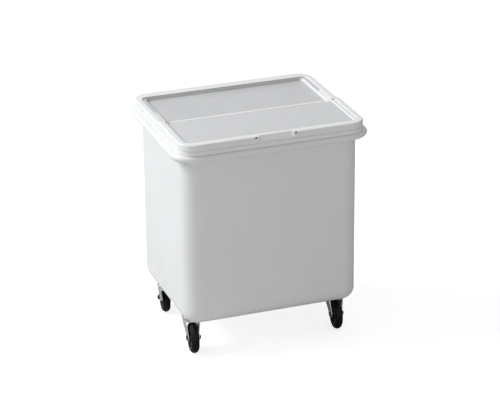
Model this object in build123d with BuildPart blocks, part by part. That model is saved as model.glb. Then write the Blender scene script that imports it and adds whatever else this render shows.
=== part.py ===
"""Rolling ingredient bin: moulded tub, two-part hinged lid and four swivel casters.

Millimetres. The origin is on the floor under the middle of the bin, +X to its right, +Y to its back, +Z up.
"""
import os
from math import radians, tan

from build123d import *

# Tub
TUB_WIDTH = 434.0
TUB_DEPTH = 346.0
TUB_CORNER_R = 42.0
TUB_DRAFT = 0.1
WALL = 4.5
FLOOR_Z = 89.5
BOTTOM_R = 28.0

# Flange around the mouth, rounded outside and hollow underneath
FLANGE_TOP_Z = 525.0
FLANGE_HEIGHT = 15.5
FLANGE_REACH = 23.0
FLANGE_CORNER_R = 52.0
FLANGE_NOSE_TOP_R = 8.0
FLANGE_NOSE_BOTTOM_R = 7.0
FLANGE_CHANNEL_WIDTH = 12.0
FLANGE_CHANNEL_DEPTH = 11.0

# Curb on the flange, which keeps the lid in place
CURB_TOP_Z = 536.5
CURB_WALL = 4.0
CURB_CLEARANCE = 1.5
CURB_EDGE_R = 1.2

# Lid, common to both halves
LID_WIDTH = 452.0
LID_DEPTH = 386.0
LID_CORNER_R = 38.0
SKIRT_BOTTOM_Z = 525.5
SKIRT_INSET = 0.5
GROOVE_Z = 535.4
GROOVE_HEIGHT = 2.5
GROOVE_DEPTH = 2.2
SKIRT_WALL = 4.5
SHOULDER_R = 3.0
SHELL = 3.0
RIM_ROOF = 4.0
RIM_INNER_EDGE_R = 1.2
SIDE_RIM = 15.0
LEDGE_R = 14.0
LEDGE_END = 2.0
LEDGE_EDGE_R = 0.8
PANEL_R = 10.0
RECESS_DRAFT = 5.0
RECESS_FLOOR_R = 3.0
SEAM_GAP = 1.0
END_WALL = 3.5

# Rear cover
REAR_RIM_Z = 547.0
REAR_LEDGE_Z = 544.0
REAR_PANEL_Z = 537.5
REAR_PANEL_HALF = 201.0
BACK_RIM = 29.0
CURB_SLOT_Z = CURB_TOP_Z + 1.5
SEAM_RIB = 9.0
SEAM_RIB_Z = 545.5
SEAM_RIB_LENGTH = 380.0
HINGE_BLOCK = (201.0, 212.5)
HINGE_BLOCK_LENGTH = 80.0
HINGE_BLOCK_INNER_Z = 543.5
HINGE_BLOCK_OUTER_Z = 546.5

# Front flap
FLAP_RIM_Z = 552.5
FLAP_LEDGE_Z = 549.0
FLAP_PANEL_Z = 545.5
FLAP_PANEL_HALF = 205.5
FLAP_STIFFENER_Z = 537.5
FRONT_RIM = 20.0
FINGER_HOLE_SPACING = 97.0
FINGER_HOLE_R = 2.9
FINGER_HOLE_Z = 549.4
FINGER_HOLE_DEPTH = 12.0
FINGER_PAD_WIDTH = 112.0
FINGER_PAD_DEPTH = 10.0
SCOOP_LENGTH = 84.0
SCOOP_DEPTH = 7.5
SCOOP_DROP = 11.0

# Lid hinge: knuckles in the two side rims
HINGE_Y = -19.0
HINGE_Z = 550.2
KNUCKLE_R = 2.5
KNUCKLE_CLEARANCE = 0.6
LUG_WEB = 1.6
LUG_WEB_DROP = 7.0
LUG_POCKET_R = 3.6
HINGE_PIN_R = 1.2
HINGE_PIN_CHAMFER = 0.3
LUG_BORE_R = 1.22
KNUCKLE_BORE_R = 1.26
INNER_LUG = (206.2, 210.8)
FLAP_KNUCKLE = (211.4, 216.6)
OUTER_LUG = (217.2, 221.2)
HINGE_PIN_SPAN = (206.4, 221.0)

# Casters: axis places, trail and the angle to which each stands swivelled
CASTER_X = 182.0
CASTER_Y = 95.0
TRAIL = 25.0
CASTERS = {
    "front_left": (-CASTER_X, -CASTER_Y, -8.0),
    "front_right": (CASTER_X, -CASTER_Y, -8.0),
    "rear_left": (-CASTER_X, CASTER_Y, 171.0),
    "rear_right": (CASTER_X, CASTER_Y, 160.0),
}

# Caster seats and threaded inserts in the tub's floor
SEAT_Z = 88.0
SEAT_R = 18.0
SEAT_ROOT = 6.0
BOSS_R = 15.0
BOSS_TOP_Z = 106.0
BOSS_EDGE_R = 5.0
INSERT_R = 7.98
INSERT_POCKET_R = 8.0
INSERT_POCKET_DEPTH = 13.5
INSERT_LENGTH = 13.2
INSERT_GROOVE_DEPTH = 0.9
INSERT_GROOVE_WIDTH = 2.4
INSERT_GROOVE_SPACING = 5.0
INSERT_GROOVE_CUT_R = 9.0
INSERT_BORE_R = 5.03

# Caster stem
STEM_R = 5.0
STEM_LENGTH = 12.5
STEM_CHAMFER = 1.0
COLLAR_ACROSS_FLATS = 19.0
COLLAR_HEIGHT = 3.0
SHANK_R = 6.0
RIVET_HEAD_R = 9.0
RIVET_HEAD_HEIGHT = 2.6
RIVET_HEAD_CHAMFER = 1.2
RIVET_HEAD_GAP = 0.3

# Swivel bearing
RACE_THICKNESS = 2.4
RACE_R = 21.5
RACE_EDGE_R = 1.5
RACE_LIP_WALL = 1.8
RACE_LIP_BOTTOM_Z = 80.4
RACE_BORE_R = 6.02
BALL_R = 2.0
BALL_COUNT = 14
BALL_CIRCLE_R = 13.5
BALL_Z = 81.9
BALL_GROOVE_R = 2.12

# Fork
FORK_SHEET = 2.5
FORK_TOP_Z = 79.8
TRACK_R = 18.5
TRACK_TOP_Z = 81.2
FORK_BORE_R = 6.05
FORK_INSIDE = 23.0
FORK_SHOULDER_HALF = 17.5
FORK_SHOULDER_Z = 72.0
FORK_WAIST_Z = 46.0
FORK_SHOULDER_R = 5.0
FORK_CROWN_HALF_DEPTH = 25.0
FORK_HEEL_Z = 51.0
FORK_HEEL_R = 15.0
FORK_EYE_R = 9.0

# Axle and wheel
WHEEL_R = 37.5
TYRE_WIDTH = 19.5
TYRE_SHOULDER_R = 30.5
TYRE_INNER_R = 28.02
TYRE_EDGE_R = 1.5
CORE_R = 28.0
CORE_RIM_WIDTH = 18.0
CORE_RIM_INNER_R = 23.5
CORE_WEB = 7.0
CORE_OVERLAP = 1.0
HUB_R = 10.5
HUB_WIDTH = 22.4
HUB_BORE_R = 5.06
SPOKE_COUNT = 6
SPOKE_WIDTH = 4.0
SPOKE_HEIGHT = 3.5
SLEEVE_R = 5.0
SLEEVE_BORE_R = 3.05
SLEEVE_LENGTH = 22.96
AXLE_R = 3.0
AXLE_HOLE_R = 3.05
AXLE_ACROSS_FLATS = 10.0
AXLE_HEAD_HEIGHT = 3.0
AXLE_NUT_HEIGHT = 4.0
AXLE_NUT_COLLAR = 1.4
AXLE_NUT_BORE_R = 3.02
AXLE_TAIL = 0.5
AXLE_CHAMFER = 0.4

# Worked out from the above
BASE_INSET = (FLANGE_TOP_Z - FLOOR_Z) * tan(radians(TUB_DRAFT))
BASE_WIDTH = TUB_WIDTH - 2 * BASE_INSET
BASE_DEPTH = TUB_DEPTH - 2 * BASE_INSET
TUB_HEIGHT = FLANGE_TOP_Z - FLOOR_Z
FLANGE_BOTTOM_Z = FLANGE_TOP_Z - FLANGE_HEIGHT
CURB_INSET = SKIRT_WALL + CURB_CLEARANCE
LID_FRONT_Y = -LID_DEPTH / 2
REAR_FRONT_Y = HINGE_Y + SEAM_GAP / 2
FLAP_BACK_Y = HINGE_Y - SEAM_GAP / 2
GROOVE_TOP_Z = GROOVE_Z + GROOVE_HEIGHT
RECESS_HALF = LID_WIDTH / 2 - SIDE_RIM
RECESS_BACK_Y = LID_DEPTH / 2 - BACK_RIM
RECESS_FRONT_Y = LID_FRONT_Y + FRONT_RIM
COLLAR_BOTTOM_Z = SEAT_Z - COLLAR_HEIGHT
RACE_BOTTOM_Z = COLLAR_BOTTOM_Z - RACE_THICKNESS
FORK_UNDERSIDE_Z = FORK_TOP_Z - FORK_SHEET
FORK_HALF = FORK_INSIDE / 2 + FORK_SHEET
RIVET_HEAD_TOP_Z = FORK_UNDERSIDE_Z - RIVET_HEAD_GAP
AXLE_Z = WHEEL_R
AXLE_PLANE = Plane(origin=(0, -TRAIL, AXLE_Z), x_dir=(0, 1, 0), z_dir=(1, 0, 0))
FAR = 600.0
LEVEL = 0.01

os.makedirs("parts", exist_ok=True)


def export(part, name):
    """Label a finished piece and write it as its own file."""
    part.label = name
    export_step(part, f"parts/{name}.step")


def rounded_outline(width, depth, radius, height):
    """A rounded rectangle centred on the bin, at a height."""
    with BuildSketch(Plane.XY.offset(height)) as outline:
        RectangleRounded(width, depth, radius)
    return outline.sketch


def lid_outline(inset, height):
    """The lid's outline, drawn in by inset, at a height."""
    return rounded_outline(LID_WIDTH - 2 * inset, LID_DEPTH - 2 * inset, LID_CORNER_R - inset, height)


def rounded_panel(half_width, half_depth, radius, height):
    """A rounded rectangle of half sizes, centred on the bin, at a height."""
    return rounded_outline(2 * half_width, 2 * half_depth, radius, height)


def lid_block(half, rim_z):
    """The outer form of a lid half before the seam is cut: skirt, groove, and a rim with a round shoulder."""
    extrude(lid_outline(SKIRT_INSET, SKIRT_BOTTOM_Z), amount=GROOVE_Z - SKIRT_BOTTOM_Z)
    extrude(lid_outline(GROOVE_DEPTH, GROOVE_Z), amount=GROOVE_HEIGHT)
    extrude(lid_outline(0, GROOVE_TOP_Z), amount=rim_z - GROOVE_TOP_Z)
    fillet(face_at(half.part, rim_z).outer_wire().edges(), SHOULDER_R)


def lid_recess(half, panel_half, panel_z, ledge_z, rim_z, end_y):
    """Sink the panel of a lid half, with a ledge inside the rim. It reaches end_y from the middle."""
    extrude(
        rounded_panel(RECESS_HALF, end_y, LEDGE_R, ledge_z),
        amount=rim_z - ledge_z,
        taper=-RECESS_DRAFT,
        mode=Mode.SUBTRACT,
    )
    extrude(
        rounded_panel(panel_half, end_y - LEDGE_END, PANEL_R, panel_z),
        amount=ledge_z - panel_z,
        taper=-RECESS_DRAFT,
        mode=Mode.SUBTRACT,
    )
    fillet(face_at(half.part, rim_z).inner_wires()[0].edges(), RIM_INNER_EDGE_R)
    fillet(face_at(half.part, ledge_z).inner_wires()[0].edges(), LEDGE_EDGE_R)
    fillet(face_at(half.part, panel_z).outer_wire().edges(), RECESS_FLOOR_R)


def hinge_disc(x_start, radius):
    """A disc around the lid's hinge axis, on the plane X = x_start."""
    with BuildSketch(Plane.YZ.offset(x_start)) as disc:
        with Locations((HINGE_Y, HINGE_Z)):
            Circle(radius)
    return disc.sketch


def both_sides(span):
    """The start and length of a span of X on the right and its mirror on the left."""
    low, high = span
    return ((low, high - low), (-high, high - low))


def face_at(part, height):
    """The largest flat face of a part at a height."""
    level = part.faces().filter_by(Axis.Z).filter_by_position(Axis.Z, height - LEVEL, height + LEVEL)
    return level.sort_by(SortBy.AREA)[-1]


def edges_at(part, direction, height):
    """The straight edges of a part along a direction at a height."""
    return part.edges().filter_by(direction).filter_by_position(Axis.Z, height - LEVEL, height + LEVEL)


# Tub: shell with rounded bottom, flange with a curb, caster seats and bosses for the threaded inserts
SEATS = [(x, y) for x, y, _ in CASTERS.values()]

with BuildPart() as tub_cavity:
    extrude(
        rounded_outline(
            BASE_WIDTH - 2 * WALL,
            BASE_DEPTH - 2 * WALL,
            TUB_CORNER_R - BASE_INSET - WALL,
            FLOOR_Z + WALL,
        ),
        amount=TUB_HEIGHT,
        taper=-TUB_DRAFT,
    )
    fillet(tub_cavity.edges().group_by(Axis.Z)[0], BOTTOM_R - WALL)

with BuildPart() as bin_tub:
    extrude(
        rounded_outline(BASE_WIDTH, BASE_DEPTH, TUB_CORNER_R - BASE_INSET, FLOOR_Z),
        amount=TUB_HEIGHT,
        taper=-TUB_DRAFT,
    )
    fillet(bin_tub.edges().group_by(Axis.Z)[0], BOTTOM_R)
    with BuildSketch(Plane.XY.offset(FLANGE_BOTTOM_Z)):
        RectangleRounded(TUB_WIDTH + 2 * FLANGE_REACH, TUB_DEPTH + 2 * FLANGE_REACH, FLANGE_CORNER_R)
    extrude(amount=FLANGE_HEIGHT)
    fillet(face_at(bin_tub.part, FLANGE_TOP_Z).outer_wire().edges(), FLANGE_NOSE_TOP_R)
    fillet(face_at(bin_tub.part, FLANGE_BOTTOM_Z).outer_wire().edges(), FLANGE_NOSE_BOTTOM_R)
    add(tub_cavity.part, mode=Mode.SUBTRACT)
    with BuildSketch(Plane.XY.offset(FLANGE_BOTTOM_Z)):
        RectangleRounded(
            TUB_WIDTH + 2 * FLANGE_CHANNEL_WIDTH,
            TUB_DEPTH + 2 * FLANGE_CHANNEL_WIDTH,
            TUB_CORNER_R + FLANGE_CHANNEL_WIDTH,
        )
        RectangleRounded(TUB_WIDTH, TUB_DEPTH, TUB_CORNER_R, mode=Mode.SUBTRACT)
    extrude(amount=FLANGE_CHANNEL_DEPTH, mode=Mode.SUBTRACT)
    with BuildSketch(Plane.XY.offset(FLANGE_TOP_Z)):
        add(lid_outline(CURB_INSET, FLANGE_TOP_Z))
        add(lid_outline(CURB_INSET + CURB_WALL, FLANGE_TOP_Z), mode=Mode.SUBTRACT)
    extrude(amount=CURB_TOP_Z - FLANGE_TOP_Z)
    fillet(face_at(bin_tub.part, CURB_TOP_Z).edges(), CURB_EDGE_R)
    with BuildSketch(Plane.XY.offset(SEAT_Z)):
        with Locations(*SEATS):
            Circle(SEAT_R)
    extrude(amount=SEAT_ROOT)
    with BuildSketch(Plane.XY.offset(FLOOR_Z + WALL / 2)):
        with Locations(*SEATS):
            Circle(BOSS_R)
    extrude(amount=BOSS_TOP_Z - FLOOR_Z - WALL / 2)
    boss_tops = bin_tub.faces().filter_by_position(Axis.Z, BOSS_TOP_Z - LEVEL, BOSS_TOP_Z + LEVEL)
    fillet(boss_tops.edges(), BOSS_EDGE_R)
    with BuildSketch(Plane.XY.offset(SEAT_Z)):
        with Locations(*SEATS):
            Circle(INSERT_POCKET_R)
    extrude(amount=INSERT_POCKET_DEPTH, mode=Mode.SUBTRACT)
export(bin_tub.part, "bin_tub")

# Rear cover: fixed half of the lid, with hinge lugs at the front ends of its side rims
with BuildPart() as rear_cover:
    lid_block(rear_cover, REAR_RIM_Z)
    lid_recess(rear_cover, REAR_PANEL_HALF, REAR_PANEL_Z, REAR_LEDGE_Z, REAR_RIM_Z, RECESS_BACK_Y)
    # Room under the panel, the slot over the curb and the hollow inside the rim
    extrude(
        lid_outline(SKIRT_WALL, SKIRT_BOTTOM_Z),
        amount=REAR_PANEL_Z - SHELL - SKIRT_BOTTOM_Z,
        mode=Mode.SUBTRACT,
    )
    with BuildSketch(Plane.XY.offset(SKIRT_BOTTOM_Z)):
        add(lid_outline(SKIRT_WALL, SKIRT_BOTTOM_Z))
        add(
            rounded_panel(REAR_PANEL_HALF + SHELL, RECESS_BACK_Y + SHELL, PANEL_R + SHELL, SKIRT_BOTTOM_Z),
            mode=Mode.SUBTRACT,
        )
    extrude(amount=CURB_SLOT_Z - SKIRT_BOTTOM_Z, mode=Mode.SUBTRACT)
    with BuildSketch(Plane.XY.offset(SKIRT_BOTTOM_Z)):
        add(lid_outline(SKIRT_WALL, SKIRT_BOTTOM_Z))
        add(
            rounded_panel(RECESS_HALF + SHELL, RECESS_BACK_Y + SHELL, LEDGE_R + SHELL, SKIRT_BOTTOM_Z),
            mode=Mode.SUBTRACT,
        )
        with Locations((0, REAR_FRONT_Y + END_WALL)):
            Rectangle(FAR, FAR, align=(Align.CENTER, Align.MAX), mode=Mode.SUBTRACT)
    extrude(amount=REAR_RIM_Z - RIM_ROOF - SKIRT_BOTTOM_Z, mode=Mode.SUBTRACT)
    # Everything in front of the seam belongs to the flap
    with Locations((0, REAR_FRONT_Y, SKIRT_BOTTOM_Z)):
        Box(FAR, FAR, FAR, align=(Align.CENTER, Align.MAX, Align.CENTER), mode=Mode.SUBTRACT)
    # Rib along the seam, standing on the panel
    with BuildSketch(Plane.XY.offset(REAR_PANEL_Z - SHELL)):
        with Locations((0, REAR_FRONT_Y)):
            Rectangle(SEAM_RIB_LENGTH, SEAM_RIB, align=(Align.CENTER, Align.MIN))
    extrude(amount=SEAM_RIB_Z - REAR_PANEL_Z + SHELL)
    # Sloping blocks that widen the side rims behind the hinge, and the lugs on them
    for side in (1, -1):
        inner_x, outer_x = side * HINGE_BLOCK[0], side * HINGE_BLOCK[1]
        with BuildSketch(Plane.XZ.offset(-REAR_FRONT_Y)):
            with BuildLine():
                Polyline(
                    (inner_x, REAR_PANEL_Z),
                    (inner_x, HINGE_BLOCK_INNER_Z),
                    (outer_x, HINGE_BLOCK_OUTER_Z),
                    (outer_x, REAR_PANEL_Z),
                    close=True,
                )
            make_face()
        extrude(amount=-HINGE_BLOCK_LENGTH)
    for span in (INNER_LUG, OUTER_LUG):
        for start, length in both_sides(span):
            with BuildSketch(Plane.YZ.offset(start)):
                with Locations((HINGE_Y, HINGE_Z)):
                    Circle(KNUCKLE_R)
                with Locations((REAR_FRONT_Y, HINGE_Z)):
                    Rectangle(LUG_WEB, LUG_WEB_DROP, align=(Align.MIN, Align.MAX))
            extrude(amount=length)
    for start, length in both_sides((INNER_LUG[1], OUTER_LUG[0])):
        extrude(hinge_disc(start, KNUCKLE_R + KNUCKLE_CLEARANCE), amount=length, mode=Mode.SUBTRACT)
    extrude(hinge_disc(-FAR / 2, LUG_BORE_R), amount=FAR, mode=Mode.SUBTRACT)
export(rear_cover.part, "rear_cover")

# Front flap: hinged half of the lid, with a finger scoop between two holes in its front edge
with BuildPart() as front_flap:
    lid_block(front_flap, FLAP_RIM_Z)
    lid_recess(front_flap, FLAP_PANEL_HALF, FLAP_PANEL_Z, FLAP_LEDGE_Z, FLAP_RIM_Z, -RECESS_FRONT_Y)
    # Room under the panel, with a stiffener left at the hinge edge
    extrude(
        lid_outline(SKIRT_WALL, SKIRT_BOTTOM_Z),
        amount=FLAP_STIFFENER_Z - SKIRT_BOTTOM_Z,
        mode=Mode.SUBTRACT,
    )
    with BuildSketch(Plane.XY.offset(FLAP_STIFFENER_Z)) as flap_hollow:
        add(lid_outline(SKIRT_WALL, FLAP_STIFFENER_Z))
        with Locations((0, FLAP_BACK_Y - END_WALL)):
            Rectangle(FAR, FAR, align=(Align.CENTER, Align.MIN), mode=Mode.SUBTRACT)
    extrude(amount=FLAP_PANEL_Z - SHELL - FLAP_STIFFENER_Z, mode=Mode.SUBTRACT)
    # Hollow inside the rim, with a thick pad left behind the finger scoop
    with BuildSketch(Plane.XY.offset(FLAP_STIFFENER_Z)):
        add(flap_hollow.sketch)
        add(
            rounded_panel(RECESS_HALF + SHELL, SHELL - RECESS_FRONT_Y, LEDGE_R + SHELL, FLAP_STIFFENER_Z),
            mode=Mode.SUBTRACT,
        )
        with Locations((0, LID_FRONT_Y)):
            Rectangle(FINGER_PAD_WIDTH, FINGER_PAD_DEPTH, align=(Align.CENTER, Align.MIN), mode=Mode.SUBTRACT)
    extrude(amount=FLAP_RIM_Z - RIM_ROOF - FLAP_STIFFENER_Z, mode=Mode.SUBTRACT)
    # Everything behind the seam belongs to the rear cover
    with Locations((0, FLAP_BACK_Y, SKIRT_BOTTOM_Z)):
        Box(FAR, FAR, FAR, align=(Align.CENTER, Align.MIN, Align.CENTER), mode=Mode.SUBTRACT)
    # Finger scoop: the front edge slopes down between the two holes
    with BuildSketch(Plane.YZ.offset(-SCOOP_LENGTH / 2)):
        with BuildLine():
            Polyline(
                (LID_FRONT_Y, FLAP_RIM_Z - SCOOP_DROP),
                (LID_FRONT_Y + SCOOP_DEPTH, FLAP_RIM_Z),
                (LID_FRONT_Y, FLAP_RIM_Z + SCOOP_DROP),
                close=True,
            )
        make_face()
    extrude(amount=SCOOP_LENGTH, mode=Mode.SUBTRACT)
    with BuildSketch(Plane.XZ.offset(-LID_FRONT_Y - FINGER_HOLE_DEPTH)):
        with GridLocations(FINGER_HOLE_SPACING, 0, 2, 1):
            with Locations((0, FINGER_HOLE_Z)):
                Circle(FINGER_HOLE_R)
    extrude(amount=FINGER_HOLE_DEPTH, mode=Mode.SUBTRACT)
    # Hinge knuckles and the pockets for the lugs
    for start, length in both_sides(FLAP_KNUCKLE):
        extrude(hinge_disc(start, KNUCKLE_R), amount=length)
    for span in ((INNER_LUG[0] - KNUCKLE_CLEARANCE, FLAP_KNUCKLE[0]), (FLAP_KNUCKLE[1], LID_WIDTH / 2)):
        for start, length in both_sides(span):
            extrude(hinge_disc(start, LUG_POCKET_R), amount=length, mode=Mode.SUBTRACT)
    extrude(hinge_disc(-FAR / 2, KNUCKLE_BORE_R), amount=FAR, mode=Mode.SUBTRACT)
export(front_flap.part, "front_flap")

# Hinge pins, one in each side rim
for side_name, start in (("left", -HINGE_PIN_SPAN[1]), ("right", HINGE_PIN_SPAN[0])):
    with BuildPart() as hinge_pin:
        extrude(hinge_disc(start, HINGE_PIN_R), amount=HINGE_PIN_SPAN[1] - HINGE_PIN_SPAN[0])
        chamfer(hinge_pin.edges().filter_by(GeomType.CIRCLE), HINGE_PIN_CHAMFER)
    export(hinge_pin.part, f"hinge_pin_{side_name}")

# Caster pieces are made around the swivel axis, with the wheel trailing towards -Y
with BuildPart() as threaded_insert:
    with BuildSketch(Plane.XY.offset(SEAT_Z)):
        Circle(INSERT_R)
        Circle(INSERT_BORE_R, mode=Mode.SUBTRACT)
    extrude(amount=INSERT_LENGTH)
    for level in (-1, 1):
        middle = SEAT_Z + INSERT_LENGTH / 2 + level * INSERT_GROOVE_SPACING / 2
        with BuildSketch(Plane.XY.offset(middle - INSERT_GROOVE_WIDTH / 2)):
            Circle(INSERT_GROOVE_CUT_R)
            Circle(INSERT_R - INSERT_GROOVE_DEPTH, mode=Mode.SUBTRACT)
        extrude(amount=INSERT_GROOVE_WIDTH, mode=Mode.SUBTRACT)

with BuildPart() as stem:
    with BuildSketch(Plane.XY.offset(SEAT_Z)):
        Circle(STEM_R)
    extrude(amount=STEM_LENGTH)
    chamfer(stem.edges().group_by(Axis.Z)[-1], STEM_CHAMFER)
    with BuildSketch(Plane.XY.offset(COLLAR_BOTTOM_Z)):
        RegularPolygon(COLLAR_ACROSS_FLATS / 2, 6, major_radius=False)
    extrude(amount=COLLAR_HEIGHT)
    with BuildSketch(Plane.XY.offset(RIVET_HEAD_TOP_Z)):
        Circle(SHANK_R)
    extrude(amount=COLLAR_BOTTOM_Z - RIVET_HEAD_TOP_Z)
    with BuildSketch(Plane.XY.offset(RIVET_HEAD_TOP_Z)):
        Circle(RIVET_HEAD_R)
    extrude(amount=-RIVET_HEAD_HEIGHT)
    chamfer(stem.edges().group_by(Axis.Z)[0], RIVET_HEAD_CHAMFER)

with BuildPart() as upper_race:
    with BuildSketch(Plane.XY.offset(RACE_LIP_BOTTOM_Z)):
        Circle(RACE_R)
    extrude(amount=COLLAR_BOTTOM_Z - RACE_LIP_BOTTOM_Z)
    fillet(upper_race.edges().group_by(Axis.Z)[-1], RACE_EDGE_R)
    with BuildSketch(Plane.XY.offset(RACE_LIP_BOTTOM_Z)):
        Circle(RACE_R - RACE_LIP_WALL)
    extrude(amount=RACE_BOTTOM_Z - RACE_LIP_BOTTOM_Z, mode=Mode.SUBTRACT)
    with BuildSketch(Plane.XY.offset(RACE_LIP_BOTTOM_Z)):
        Circle(RACE_BORE_R)
    extrude(amount=FAR, mode=Mode.SUBTRACT)
    with BuildSketch(Plane.XZ):
        with Locations((BALL_CIRCLE_R, BALL_Z)):
            Circle(BALL_GROOVE_R)
    revolve(axis=Axis.Z, mode=Mode.SUBTRACT)

with BuildPart() as bearing_balls:
    with Locations((0, 0, BALL_Z)):
        with PolarLocations(BALL_CIRCLE_R, BALL_COUNT):
            Sphere(BALL_R)

with BuildPart() as fork:
    # Front view: an inverted U whose legs spread a little towards the crown
    with BuildSketch(Plane.XZ.offset(-FAR / 4)):
        with BuildLine():
            Polyline(
                (0, FORK_TOP_Z),
                (FORK_SHOULDER_HALF, FORK_TOP_Z),
                (FORK_SHOULDER_HALF, FORK_SHOULDER_Z),
                (FORK_HALF, FORK_WAIST_Z),
                (FORK_HALF, 0),
                (FORK_HALF - FORK_SHEET, 0),
                (FORK_HALF - FORK_SHEET, FORK_WAIST_Z),
                (FORK_SHOULDER_HALF - FORK_SHEET, FORK_SHOULDER_Z),
                (FORK_SHOULDER_HALF - FORK_SHEET, FORK_UNDERSIDE_Z),
                (0, FORK_UNDERSIDE_Z),
                close=True,
            )
        make_face()
        mirror(about=Plane.YZ)
    extrude(amount=FAR / 2)
    fillet(edges_at(fork.part, Axis.Y, FORK_UNDERSIDE_Z), FORK_SHOULDER_R - FORK_SHEET)
    fillet(edges_at(fork.part, Axis.Y, FORK_TOP_Z), FORK_SHOULDER_R)
    # Side view: each leg narrows from the crown, over a round heel, to the axle eye
    with BuildSketch(Plane.YZ.offset(-FAR / 4)) as fork_side:
        with Locations((0, FORK_TOP_Z)):
            Rectangle(2 * FORK_CROWN_HALF_DEPTH, FORK_TOP_Z - FORK_HEEL_Z, align=(Align.CENTER, Align.MAX))
        with Locations((-TRAIL, AXLE_Z)):
            Circle(FORK_EYE_R)
        make_hull()
        fillet(fork_side.vertices().group_by(Axis.X)[-1].sort_by(Axis.Y)[0], FORK_HEEL_R)
    extrude(amount=FAR / 2, mode=Mode.INTERSECT)
    # Raised ball track and the bores for the stem and the axle
    with BuildSketch(Plane.XY.offset(FORK_UNDERSIDE_Z)):
        Circle(TRACK_R)
    extrude(amount=TRACK_TOP_Z - FORK_UNDERSIDE_Z)
    with BuildSketch(Plane.XZ):
        with Locations((BALL_CIRCLE_R, BALL_Z)):
            Circle(BALL_GROOVE_R)
    revolve(axis=Axis.Z, mode=Mode.SUBTRACT)
    with BuildSketch(Plane.XY):
        Circle(FORK_BORE_R)
    extrude(amount=FAR, mode=Mode.SUBTRACT)
    with BuildSketch(AXLE_PLANE.offset(-FAR / 4)):
        Circle(AXLE_HOLE_R)
    extrude(amount=FAR / 2, mode=Mode.SUBTRACT)

with BuildPart() as axle_sleeve:
    with BuildSketch(AXLE_PLANE.offset(-SLEEVE_LENGTH / 2)):
        Circle(SLEEVE_R)
        Circle(SLEEVE_BORE_R, mode=Mode.SUBTRACT)
    extrude(amount=SLEEVE_LENGTH)

with BuildPart() as axle_bolt:
    with BuildSketch(AXLE_PLANE.offset(-FORK_HALF)):
        RegularPolygon(AXLE_ACROSS_FLATS / 2, 6, major_radius=False)
    extrude(amount=-AXLE_HEAD_HEIGHT)
    with BuildSketch(AXLE_PLANE.offset(-FORK_HALF)):
        Circle(AXLE_R)
    extrude(amount=2 * FORK_HALF + AXLE_NUT_HEIGHT + AXLE_TAIL)
    chamfer(axle_bolt.edges().group_by(Axis.X)[-1], AXLE_CHAMFER)

with BuildPart() as axle_nut:
    with BuildSketch(AXLE_PLANE.offset(FORK_HALF)):
        RegularPolygon(AXLE_ACROSS_FLATS / 2, 6, major_radius=False)
    extrude(amount=AXLE_NUT_HEIGHT - AXLE_NUT_COLLAR)
    with BuildSketch(AXLE_PLANE.offset(FORK_HALF)):
        Circle(AXLE_ACROSS_FLATS / 2 - AXLE_CHAMFER)
    extrude(amount=AXLE_NUT_HEIGHT)
    with BuildSketch(AXLE_PLANE.offset(FORK_HALF)):
        Circle(AXLE_NUT_BORE_R)
    extrude(amount=AXLE_NUT_HEIGHT, mode=Mode.SUBTRACT)

with BuildPart() as wheel_core:
    with BuildSketch(AXLE_PLANE):
        Circle(CORE_R)
        Circle(CORE_RIM_INNER_R, mode=Mode.SUBTRACT)
    extrude(amount=CORE_RIM_WIDTH / 2, both=True)
    with BuildSketch(AXLE_PLANE):
        Circle(CORE_R - CORE_OVERLAP)
    extrude(amount=CORE_WEB / 2, both=True)
    with BuildSketch(AXLE_PLANE):
        Circle(HUB_R)
    extrude(amount=HUB_WIDTH / 2, both=True)
    with BuildSketch(AXLE_PLANE):
        with PolarLocations((HUB_R + CORE_RIM_INNER_R) / 2, SPOKE_COUNT):
            Rectangle(CORE_RIM_INNER_R - HUB_R + 2 * CORE_OVERLAP, SPOKE_WIDTH)
    extrude(amount=CORE_WEB / 2 + SPOKE_HEIGHT, both=True)
    with BuildSketch(AXLE_PLANE):
        Circle(HUB_BORE_R)
    extrude(amount=HUB_WIDTH, both=True, mode=Mode.SUBTRACT)

with BuildPart() as tyre:
    with BuildSketch(Plane(origin=(0, -TRAIL, AXLE_Z), x_dir=(1, 0, 0), z_dir=(0, -1, 0))) as tyre_section:
        with BuildLine():
            ThreePointArc(
                (-TYRE_WIDTH / 2, TYRE_SHOULDER_R),
                (0, WHEEL_R),
                (TYRE_WIDTH / 2, TYRE_SHOULDER_R),
            )
            Polyline(
                (TYRE_WIDTH / 2, TYRE_SHOULDER_R),
                (TYRE_WIDTH / 2, TYRE_INNER_R),
                (-TYRE_WIDTH / 2, TYRE_INNER_R),
                (-TYRE_WIDTH / 2, TYRE_SHOULDER_R),
            )
        make_face()
        fillet(tyre_section.vertices(), TYRE_EDGE_R)
    revolve(axis=Axis((0, -TRAIL, AXLE_Z), (1, 0, 0)))

CASTER_PIECES = {
    "insert": threaded_insert,
    "stem": stem,
    "race": upper_race,
    "balls": bearing_balls,
    "fork": fork,
    "axle_sleeve": axle_sleeve,
    "axle_bolt": axle_bolt,
    "axle_nut": axle_nut,
    "wheel_core": wheel_core,
    "tyre": tyre,
}

for corner, (x, y, angle) in CASTERS.items():
    place = Location((x, y, 0), (0, 0, angle))
    for piece_name, piece in CASTER_PIECES.items():
        export(piece.part.moved(place), f"{corner}_{piece_name}")
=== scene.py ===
"""Looks of the rolling ingredient bin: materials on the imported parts, pale floor, soft light and camera."""
import math

import bpy
from mathutils import Matrix, Vector

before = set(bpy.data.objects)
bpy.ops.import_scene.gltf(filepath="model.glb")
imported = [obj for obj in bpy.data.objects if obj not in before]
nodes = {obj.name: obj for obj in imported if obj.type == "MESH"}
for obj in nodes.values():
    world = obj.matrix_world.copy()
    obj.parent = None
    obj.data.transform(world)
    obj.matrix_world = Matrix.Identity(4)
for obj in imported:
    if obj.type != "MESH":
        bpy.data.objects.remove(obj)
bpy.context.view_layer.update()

CORNERS = ("front_left", "front_right", "rear_left", "rear_right")

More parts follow.
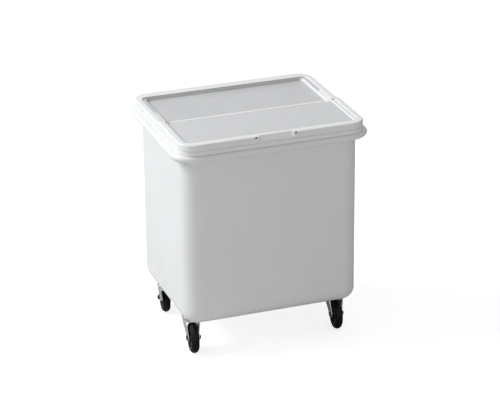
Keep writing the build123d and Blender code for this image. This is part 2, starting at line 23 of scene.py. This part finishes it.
# Colour sockets of a mix node
MIX_FIRST, MIX_SECOND, MIX_RESULT = 6, 7, 2

# Lid: outer edge of the side ledges, and the width over which the panel's painted shade and the rim colour
# meet
LEDGE_HALF = 0.2125
COLOR_EDGE = 0.0005

# Floor and light
FLOOR_HALF = 12.0
FLOOR_GLOW = 0.76
WORLD_LIGHT = 0.33
WHITE = (1.0, 1.0, 1.0)
COOL_WHITE = (0.945, 0.975, 1.0)

# Camera, in metres and degrees
CAMERA_PLACE = (-1.66167, -4.62255, 2.38186)
CAMERA_AZIMUTH = -19.814
CAMERA_ELEVATION = 23.043
CAMERA_ROLL = -0.614
CAMERA_LENS = 160.58
SENSOR_WIDTH = 36.0
CLIP_END = 100.0


def gray(level):
    """A grey with a faint blue cast, like the lid's panels."""
    return (level, level, level + 0.005)


class Graph:
    """A new node material, with short ways to add and join its nodes."""

    def __init__(self, name):
        self.material = bpy.data.materials.new(name)
        self.material.use_nodes = True
        self.tree = self.material.node_tree
        self.shader = self.tree.nodes["Principled BSDF"]
        source = self.add("ShaderNodeTexCoord")
        self.coords = source.outputs["Object"]
        self.normal = source.outputs["Normal"]

    def add(self, kind, **settings):
        node = self.tree.nodes.new(kind)
        for key, value in settings.items():
            setattr(node, key, value)
        return node

    def join(self, source, target):
        self.tree.links.new(source, target)

    def set(self, **values):
        for key, value in values.items():
            self.shader.inputs[key.replace("_", " ")].default_value = value

    def mapped(self, scale):
        """Object coordinates, stretched by a scale for each axis."""
        mapping = self.add("ShaderNodeMapping")
        mapping.inputs["Scale"].default_value = scale
        self.join(self.coords, mapping.inputs["Vector"])
        return mapping.outputs["Vector"]

    def noise(self, scale, detail=3.0, roughness=0.5, vector=None):
        node = self.add("ShaderNodeTexNoise")
        node.inputs["Scale"].default_value = scale
        node.inputs["Detail"].default_value = detail
        node.inputs["Roughness"].default_value = roughness
        self.join(vector or self.coords, node.inputs["Vector"])
        return node.outputs["Fac"]

    def ramp(self, value, low, high, low_color, high_color):
        node = self.add("ShaderNodeValToRGB")
        node.color_ramp.elements[0].position = low
        node.color_ramp.elements[1].position = high
        node.color_ramp.elements[0].color = (*low_color, 1.0)
        node.color_ramp.elements[1].color = (*high_color, 1.0)
        self.join(value, node.inputs["Fac"])
        return node.outputs["Color"]

    def fit(self, value, from_low, from_high, to_low, to_high):
        node = self.add("ShaderNodeMapRange")
        for key, number in (
            ("From Min", from_low),
            ("From Max", from_high),
            ("To Min", to_low),
            ("To Max", to_high),
        ):
            node.inputs[key].default_value = number
        self.join(value, node.inputs["Value"])
        return node.outputs["Result"]

    def mix(self, factor, first, second):
        """Colour first where factor is 0 and second where it is 1. Either may be a plain colour."""
        node = self.add("ShaderNodeMix", data_type="RGBA")
        self.join(factor, node.inputs["Factor"])
        for socket, color in ((node.inputs[MIX_FIRST], first), (node.inputs[MIX_SECOND], second)):
            if isinstance(color, tuple):
                socket.default_value = (*color, 1.0)
            else:
                self.join(color, socket)
        return node.outputs[MIX_RESULT]

    def combine(self, operation, first, second):
        node = self.add("ShaderNodeMath", operation=operation)
        self.join(first, node.inputs[0])
        self.join(second, node.inputs[1])
        return node.outputs[0]

    def times(self, first, second):
        return self.combine("MULTIPLY", first, second)

    def larger(self, first, second):
        return self.combine("MAXIMUM", first, second)

    def size_of(self, value):
        node = self.add("ShaderNodeMath", operation="ABSOLUTE")
        self.join(value, node.inputs[0])
        return node.outputs[0]

    def along(self, axis, vector=None):
        split = self.add("ShaderNodeSeparateXYZ")
        self.join(vector or self.coords, split.inputs[0])
        return split.outputs[axis]

    def edges(self, low, high):
        """1 on convex edges and 0 on flat surfaces."""
        geometry = self.add("ShaderNodeNewGeometry")
        return self.fit(geometry.outputs["Pointiness"], low, high, 0.0, 1.0)

    def color(self, socket):
        self.join(socket, self.shader.inputs["Base Color"])

    def rough(self, socket):
        self.join(socket, self.shader.inputs["Roughness"])

    def bump(self, value, strength, distance):
        node = self.add("ShaderNodeBump")
        node.inputs["Strength"].default_value = strength
        node.inputs["Distance"].default_value = distance
        self.join(value, node.inputs["Height"])
        self.join(node.outputs["Normal"], self.shader.inputs["Normal"])


def tub_material():
    """White moulded polyethylene: waxy, faintly uneven, scuffed towards the floor."""
    g = Graph("tub_polyethylene")
    g.set(IOR=1.5, Subsurface_Weight=0.06, Subsurface_Scale=0.004)
    cloud = g.noise(5.0, detail=4.0)
    tint = g.ramp(cloud, 0.35, 0.7, (0.80, 0.80, 0.79), (0.83, 0.83, 0.825))
    scuff_noise = g.noise(60.0, detail=6.0, roughness=0.65, vector=g.mapped((1.0, 1.0, 0.25)))
    scuff = g.fit(scuff_noise, 0.62, 0.72, 0.0, 1.0)
    low = g.fit(g.along("Z"), 0.2, 0.1, 0.0, 0.6)
    g.color(g.mix(g.times(scuff, low), tint, (0.62, 0.62, 0.60)))
    g.rough(g.fit(g.noise(40.0), 0.3, 0.7, 0.38, 0.48))
    g.bump(g.noise(420.0, detail=2.0), 0.08, 0.0006)
    return g.material


def lid_material(name, panel_half, ledge_y, span_y, top_z, panel_shade_gray):
    """Satin moulded plastic with painted shade: greyer on the panel and on the ledges, standing in for the
    dark tub seen through the thin plastic. Inner walls facing ±X take the rim's light colour as a painted
    highlight, and walls facing front or back keep the grey as painted shade.

    The grey lies within span_y and below top_z. On the ledges it starts at ledge_y.
    """
    g = Graph(name)
    g.set(IOR=1.49, Subsurface_Weight=0.05, Subsurface_Scale=0.003)
    cloud = g.noise(7.0, detail=4.0)
    # Painted shade: the panel grey stands in for the dark tub seen through the plastic.
    panel = g.ramp(cloud, 0.35, 0.7, gray(panel_shade_gray - 0.02), gray(panel_shade_gray + 0.02))
    rim = g.ramp(cloud, 0.35, 0.7, (0.83, 0.83, 0.825), (0.86, 0.86, 0.855))
    x, y, z = (g.along(axis) for axis in "XYZ")
    on_panel = g.fit(g.size_of(x), panel_half - COLOR_EDGE, panel_half, 1.0, 0.0)
    on_ledge = g.fit(g.size_of(x), LEDGE_HALF - COLOR_EDGE, LEDGE_HALF, 1.0, 0.0)
    painted_shade_mask = g.larger(on_panel, g.times(on_ledge, g.fit(y, ledge_y, ledge_y + COLOR_EDGE, 0.0, 1.0)))
    painted_shade_mask = g.times(painted_shade_mask, g.fit(z, top_z - COLOR_EDGE, top_z, 1.0, 0.0))
    painted_shade_mask = g.times(painted_shade_mask, g.fit(y, span_y[0], span_y[0] + COLOR_EDGE, 0.0, 1.0))
    painted_shade_mask = g.times(painted_shade_mask, g.fit(y, span_y[1] - COLOR_EDGE, span_y[1], 1.0, 0.0))
    # Painted highlight and shade: inner walls facing ±X take the light rim colour, and walls facing front or
    # back stay grey.
    painted_shade_mask = g.times(painted_shade_mask, g.fit(g.size_of(g.along("X", g.normal)), 0.3, 0.7, 1.0, 0.0))
    g.color(g.mix(painted_shade_mask, rim, panel))
    g.rough(g.fit(g.noise(55.0), 0.3, 0.7, 0.30, 0.42))
    g.bump(g.noise(500.0, detail=2.0), 0.06, 0.0005)
    return g.material


def zinc_material():
    """Bright zinc plate with soft cloudy patches and fine scratches."""
    g = Graph("zinc_plate")
    g.set(Metallic=1.0)
    cloud = g.noise(90.0, detail=5.0)
    g.color(g.ramp(cloud, 0.3, 0.75, (0.46, 0.465, 0.475), (0.54, 0.545, 0.555)))
    streak = g.noise(160.0, detail=4.0, vector=g.mapped((1.0, 1.0, 8.0)))
    g.rough(g.fit(streak, 0.3, 0.7, 0.36, 0.52))
    g.bump(streak, 0.12, 0.0003)
    return g.material


def dark_steel_material():
    """Black oxide fasteners, rubbed to grey on their edges."""
    g = Graph("black_oxide")
    g.set(Metallic=0.8)
    cloud = g.noise(220.0, detail=4.0)
    black = g.ramp(cloud, 0.3, 0.75, (0.025, 0.025, 0.028), (0.06, 0.06, 0.065))
    g.color(g.mix(g.edges(0.55, 0.68), black, (0.22, 0.22, 0.23)))
    g.rough(g.fit(cloud, 0.3, 0.7, 0.38, 0.55))
    g.bump(cloud, 0.1, 0.0003)
    return g.material


def bright_steel_material():
    """Ground bright steel."""
    g = Graph("ground_steel")
    g.set(Metallic=1.0)
    streak = g.noise(300.0, detail=3.0, vector=g.mapped((12.0, 1.0, 1.0)))
    g.color(g.ramp(streak, 0.3, 0.7, (0.62, 0.63, 0.64), (0.75, 0.755, 0.76)))
    g.rough(g.fit(streak, 0.3, 0.7, 0.18, 0.30))
    return g.material


def brass_material():
    """Turned brass."""
    g = Graph("turned_brass")
    g.set(Metallic=1.0)
    streak = g.noise(260.0, detail=3.0, vector=g.mapped((1.0, 1.0, 10.0)))
    g.color(g.ramp(streak, 0.3, 0.7, (0.55, 0.40, 0.16), (0.74, 0.57, 0.28)))
    g.rough(g.fit(streak, 0.3, 0.7, 0.25, 0.40))
    return g.material


def wheel_plastic_material():
    """Moulded black plastic of the wheel cores."""
    g = Graph("black_polypropylene")
    g.set(Specular_IOR_Level=0.45)
    grain = g.noise(600.0, detail=2.0)
    g.color(g.ramp(g.noise(80.0), 0.3, 0.7, (0.014, 0.014, 0.0145), (0.022, 0.022, 0.023)))
    g.rough(g.fit(grain, 0.3, 0.7, 0.30, 0.42))
    g.bump(grain, 0.12, 0.0004)
    return g.material


def rubber_material():
    """Black rubber, greyed by dust where the crown runs on the floor."""
    g = Graph("tyre_rubber")
    g.set(Specular_IOR_Level=0.12)
    grain = g.noise(500.0, detail=3.0)
    dust = g.noise(45.0, detail=5.0, roughness=0.6)
    black = g.ramp(grain, 0.3, 0.7, (0.003, 0.003, 0.0033), (0.007, 0.007, 0.0075))
    g.color(g.mix(g.fit(dust, 0.6, 0.8, 0.0, 0.4), black, (0.03, 0.029, 0.028)))
    g.rough(g.fit(dust, 0.3, 0.8, 0.42, 0.66))
    g.bump(grain, 0.15, 0.0005)
    return g.material


def dress(names, material):
    """Give CAD nodes a material."""
    for name in names:
        data = nodes[name].data
        data.materials.clear()
        data.materials.append(material)


def at_corners(*pieces):
    return [f"{corner}_{piece}" for corner in CORNERS for piece in pieces]


dress(["bin_tub"], tub_material())
# The lid panel greys are painted shade, lighter on the flap than on the rear cover.
dress(["rear_cover"], lid_material(
    "rear_cover_plastic", panel_half=0.2010, ledge_y=0.0615, span_y=(-0.0095, 0.167),
    top_z=0.5468, panel_shade_gray=0.595,
))
dress(["front_flap"], lid_material(
    "front_flap_plastic", panel_half=0.2055, ledge_y=-0.180, span_y=(-0.174, -0.019),
    top_z=0.5523, panel_shade_gray=0.65,
))
dress(at_corners("fork", "stem", "race"), zinc_material())
dress(at_corners("axle_bolt", "axle_nut"), dark_steel_material())
dress(at_corners("balls", "axle_sleeve") + ["hinge_pin_left", "hinge_pin_right"], bright_steel_material())
dress(at_corners("insert"), brass_material())
dress(at_corners("wheel_core"), wheel_plastic_material())
dress(at_corners("tyre"), rubber_material())


def pale_floor():
    """A wide pale square that stays white to the camera and still takes the bin's shadow."""
    corners = [(x * FLOOR_HALF, y * FLOOR_HALF, 0.0) for x, y in ((-1, -1), (1, -1), (1, 1), (-1, 1))]
    mesh = bpy.data.meshes.new("floor")
    mesh.from_pydata(corners, [], [(0, 1, 2, 3)])
    floor = bpy.data.objects.new("floor", mesh)
    bpy.context.collection.objects.link(floor)
    g = Graph("pale_floor")
    g.set(Roughness=0.9, Specular_IOR_Level=0.1, Emission_Color=(*WHITE, 1.0))
    g.color(g.ramp(g.noise(3.0), 0.3, 0.7, (0.61, 0.61, 0.61), (0.63, 0.63, 0.63)))
    seen = g.add("ShaderNodeLightPath").outputs["Is Camera Ray"]
    g.join(g.fit(seen, 0.0, 1.0, 0.0, FLOOR_GLOW), g.shader.inputs["Emission Strength"])
    mesh.materials.append(g.material)


def white_world():
    """White to the camera and to mirrors, a softer grey as light."""
    world = bpy.data.worlds.new("studio")
    bpy.context.scene.world = world
    world.use_nodes = True
    tree = world.node_tree
    background = tree.nodes["Background"]
    background.inputs["Color"].default_value = (*WHITE, 1.0)
    path = tree.nodes.new("ShaderNodeLightPath")
    seen = path.outputs["Is Camera Ray"]
    for name in ("Is Glossy Ray", "Is Transmission Ray"):
        either = tree.nodes.new("ShaderNodeMath")
        either.operation = "MAXIMUM"
        tree.links.new(seen, either.inputs[0])
        tree.links.new(path.outputs[name], either.inputs[1])
        seen = either.outputs[0]
    strength = tree.nodes.new("ShaderNodeMapRange")
    strength.inputs["To Min"].default_value = WORLD_LIGHT
    strength.inputs["To Max"].default_value = 1.0
    tree.links.new(seen, strength.inputs["Value"])
    tree.links.new(strength.outputs["Result"], background.inputs["Strength"])


def lamp(name, place, aim, size, watts, color):
    """A soft square lamp."""
    data = bpy.data.lights.new(name, "AREA")
    data.size = size
    data.energy = watts
    data.color = color
    lamp_object = bpy.data.objects.new(name, data)
    lamp_object.location = place
    lamp_object.rotation_euler = (Vector(aim) - Vector(place)).to_track_quat("-Z", "Y").to_euler()
    bpy.context.collection.objects.link(lamp_object)


def photo_camera():
    """The photograph's viewpoint: from the front left and above, with a slight roll."""
    azimuth, elevation, roll = map(math.radians, (CAMERA_AZIMUTH, CAMERA_ELEVATION, CAMERA_ROLL))
    look = Vector((
        -math.sin(azimuth) * math.cos(elevation),
        math.cos(azimuth) * math.cos(elevation),
        -math.sin(elevation),
    ))
    right = Vector((math.cos(azimuth), math.sin(azimuth), 0.0))
    up = right.cross(look)
    rolled_right = right * math.cos(roll) + up * math.sin(roll)
    rolled_up = up * math.cos(roll) - right * math.sin(roll)
    data = bpy.data.cameras.new("camera")
    data.sensor_width = SENSOR_WIDTH
    data.lens = CAMERA_LENS
    data.clip_end = CLIP_END
    camera = bpy.data.objects.new("camera", data)
    turn = Matrix((rolled_right, rolled_up, -look)).transposed().to_4x4()
    camera.matrix_world = Matrix.Translation(CAMERA_PLACE) @ turn
    bpy.context.collection.objects.link(camera)
    bpy.context.scene.camera = camera


pale_floor()
white_world()
lamp("key", place=(-4.0, 1.6, 3.98), aim=(0.0, 0.0, 0.3), size=2.24, watts=272.0, color=COOL_WHITE)
lamp("fill", place=(-0.8, -4.5, 1.2), aim=(0.0, 0.0, 0.4), size=2.5, watts=29.0, color=WHITE)
photo_camera()
bpy.context.scene.view_settings.view_transform = "Standard"
